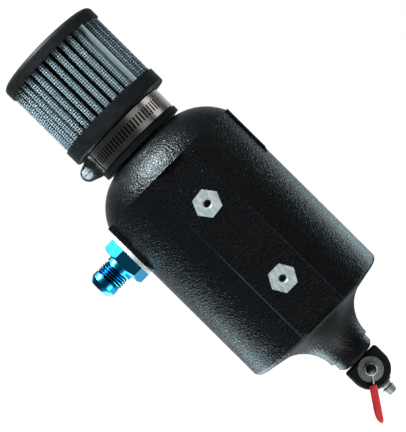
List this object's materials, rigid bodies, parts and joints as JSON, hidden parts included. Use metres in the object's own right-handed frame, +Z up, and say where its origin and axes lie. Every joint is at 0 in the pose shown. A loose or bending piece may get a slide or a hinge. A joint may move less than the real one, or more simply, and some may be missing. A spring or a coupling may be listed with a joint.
{
  "type": "breather tank",
  "caption": "Upright moulded breather tank with a clamp-on pleated filter, a flared side inlet, a trumpet sump with a lever drain cock, and a bolted mounting land.",
  "frame": {"origin": "middle of the two mounting bolts, on the face of their inserts", "axes": "+Z up the tank towards the filter, -Y out of the mounting face, -X towards the inlet fitting"},
  "size_m": [0.1642, 0.1265, 0.3771],
  "materials": {
    "black_polyethylene": "grained, satin",
    "insert_aluminium": "machined",
    "blue_anodised": "bright anodised",
    "white_nylon": "plain",
    "filter_rubber": "matt",
    "filter_gauze": "wire-backed cotton gauze",
    "seam_strip": "plain",
    "clamp_steel": "rolled",
    "plated_steel": "plated",
    "collar_plastic": "satin",
    "black_cock": "satin",
    "dark_steel": "oxidised",
    "seal_rubber": "smooth",
    "grey_steel": "plain",
    "bright_wire": "bright",
    "red_vinyl": "dipped",
    "bright_spout": "nickel plated"
  },
  "bodies": {
    "tank": {"tank_shell": "black_polyethylene", "mount_insert_upper": "insert_aluminium", "mount_insert_lower": "insert_aluminium", "inlet_fitting": "blue_anodised", "inlet_washer_outer": "white_nylon", "inlet_washer_inner": "white_nylon", "inlet_nut": "blue_anodised", "filter_base": "filter_rubber", "filter_media": "filter_gauze", "filter_seam_clip": "seam_strip", "filter_top_cap": "filter_rubber", "clamp_band": "clamp_steel", "clamp_housing": "clamp_steel", "drain_insert": "collar_plastic", "drain_body": "black_cock", "drain_disc": "grey_steel", "drain_spout": "bright_spout"},
    "lever": {"drain_spindle": "dark_steel", "spindle_o_rings": "seal_rubber", "spindle_snap_ring": "plated_steel", "drain_lever": "bright_wire", "lever_grip": "red_vinyl"},
    "screw": {"clamp_screw": "plated_steel"}
  },
  "joints": [
    {"name": "drain_turn", "type": "hinge", "parent": "tank", "child": "lever", "pos_m": [0, 0.0615, -0.1366], "axis": [0, -1, 0], "range_deg": [-55.3, 34.7]},
    {"name": "clamp_turn", "type": "hinge", "parent": "tank", "child": "screw", "pos_m": [-0.04284, 0.06905, 0.1173], "axis": [-0.1736, -0.9848, 0], "continuous": true}
  ]
}
